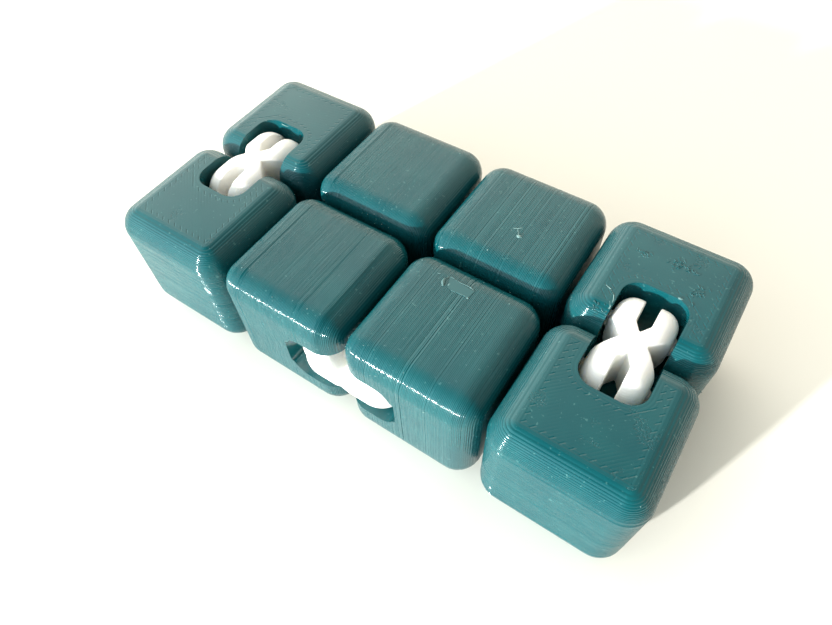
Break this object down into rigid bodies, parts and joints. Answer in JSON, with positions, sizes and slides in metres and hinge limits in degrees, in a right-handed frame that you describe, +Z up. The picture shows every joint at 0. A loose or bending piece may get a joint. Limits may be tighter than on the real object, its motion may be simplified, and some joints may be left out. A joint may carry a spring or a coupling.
{
  "type": "folding fidget cube",
  "caption": "Pocket fidget toy: rounded plastic cubes joined in an endless loop by snap-in double-pivot links, shown opened flat.",
  "frame": {"origin": "middle of the underside of the block, laid out flat with its cubes on the table", "axes": "+X along the block's length, +Y from the front row of cubes to the back row, +Z up"},
  "size_m": [0.082, 0.0406, 0.02],
  "materials": {
    "teal_plastic": "satin 3D-printed plastic, deep teal, with fine print layers",
    "white_plastic": "warm white 3D-printed plastic"
  },
  "bodies": {
    "front_cube_1": {"front_cube_1": "teal_plastic"},
    "front_cube_2": {"front_cube_2": "teal_plastic"},
    "front_cube_3": {"front_cube_3": "teal_plastic"},
    "front_cube_4": {"front_cube_4": "teal_plastic"},
    "back_cube_1": {"back_cube_1": "teal_plastic"},
    "back_cube_2": {"back_cube_2": "teal_plastic"},
    "back_cube_3": {"back_cube_3": "teal_plastic"},
    "back_cube_4": {"back_cube_4": "teal_plastic"},
    "left_end_link": {"left_end_link": "white_plastic"},
    "right_end_link": {"right_end_link": "white_plastic"},
    "front_left_link": {"front_left_link": "white_plastic"},
    "back_left_link": {"back_left_link": "white_plastic"},
    "front_right_link": {"front_right_link": "white_plastic"},
    "back_right_link": {"back_right_link": "white_plastic"},
    "front_middle_link": {"front_middle_link": "white_plastic"},
    "back_middle_link": {"back_middle_link": "white_plastic"}
  },
  "joints": [
    {"name": "fold_rows", "type": "hinge", "parent": "front_cube_1", "child": "left_end_link", "pos_m": [-0.03097, -0.00432, 0.016], "axis": [1, 0, 0], "range_deg": [0, 90]},
    {"name": "left_end_back_pivot", "type": "hinge", "parent": "left_end_link", "child": "back_cube_1", "pos_m": [-0.03097, 0.00432, 0.016], "axis": [1, 0, 0], "range_deg": [0, 90]},
    {"name": "right_end_front_pivot", "type": "hinge", "parent": "front_cube_4", "child": "right_end_link", "pos_m": [0.03097, -0.00432, 0.016], "axis": [1, 0, 0], "range_deg": [0, 90]},
    {"name": "right_end_back_pivot", "type": "hinge", "parent": "right_end_link", "child": "back_cube_4", "pos_m": [0.03097, 0.00432, 0.016], "axis": [1, 0, 0], "range_deg": [0, 90]},
    {"name": "fold_left", "type": "hinge", "parent": "front_cube_2", "child": "front_left_link", "pos_m": [-0.01632, -0.01033, 0.004], "axis": [0, -1, 0], "range_deg": [0, 90]},
    {"name": "front_left_outer_pivot", "type": "hinge", "parent": "front_left_link", "child": "front_cube_1", "pos_m": [-0.02498, -0.01033, 0.004], "axis": [0, -1, 0], "range_deg": [0, 90]},
    {"name": "back_left_outer_pivot", "type": "hinge", "parent": "back_cube_1", "child": "back_left_link", "pos_m": [-0.02498, 0.01033, 0.004], "axis": [0, 1, 0], "range_deg": [0, 90]},
    {"name": "back_left_inner_pivot", "type": "hinge", "parent": "back_left_link", "child": "back_cube_2", "pos_m": [-0.01632, 0.01033, 0.004], "axis": [0, 1, 0], "range_deg": [0, 90]},
    {"name": "fold_right", "type": "hinge", "parent": "front_cube_3", "child": "front_right_link", "pos_m": [0.01632, -0.01033, 0.004], "axis": [0, 1, 0], "range_deg": [0, 90]},
    {"name": "front_right_outer_pivot", "type": "hinge", "parent": "front_right_link", "child": "front_cube_4", "pos_m": [0.02498, -0.01033, 0.004], "axis": [0, 1, 0], "range_deg": [0, 90]},
    {"name": "back_right_outer_pivot", "type": "hinge", "parent": "back_cube_4", "child": "back_right_link", "pos_m": [0.02498, 0.01033, 0.004], "axis": [0, -1, 0], "range_deg": [0, 90]},
    {"name": "back_right_inner_pivot", "type": "hinge", "parent": "back_right_link", "child": "back_cube_3", "pos_m": [0.01632, 0.01033, 0.004], "axis": [0, -1, 0], "range_deg": [0, 90]},
    {"name": "fold_halves", "type": "hinge", "parent": "front_cube_2", "child": "front_middle_link", "pos_m": [-0.00432, -0.01632, 0.01], "axis": [0, 0, -1], "range_deg": [0, 90]},
    {"name": "front_middle_right_pivot", "type": "hinge", "parent": "front_middle_link", "child": "front_cube_3", "pos_m": [0.00432, -0.01632, 0.01], "axis": [0, 0, -1], "range_deg": [0, 90]},
    {"name": "back_middle_left_pivot", "type": "hinge", "parent": "back_cube_2", "child": "back_middle_link", "pos_m": [-0.00432, 0.01632, 0.01], "axis": [0, 0, 1], "range_deg": [0, 90]}
  ],
  "couplings": [
    {"joint": "left_end_back_pivot", "follows": "fold_rows", "ratio": 1},
    {"joint": "right_end_front_pivot", "follows": "fold_rows", "ratio": 1},
    {"joint": "right_end_back_pivot", "follows": "fold_rows", "ratio": 1},
    {"joint": "front_left_outer_pivot", "follows": "fold_left", "ratio": 1},
    {"joint": "back_left_outer_pivot", "follows": "fold_left", "ratio": 1},
    {"joint": "back_left_inner_pivot", "follows": "fold_left", "ratio": 1},
    {"joint": "front_right_outer_pivot", "follows": "fold_right", "ratio": 1},
    {"joint": "back_right_outer_pivot", "follows": "fold_right", "ratio": 1},
    {"joint": "back_right_inner_pivot", "follows": "fold_right", "ratio": 1},
    {"joint": "front_middle_right_pivot", "follows": "fold_halves", "ratio": 1},
    {"joint": "back_middle_left_pivot", "follows": "fold_halves", "ratio": 1}
  ]
}
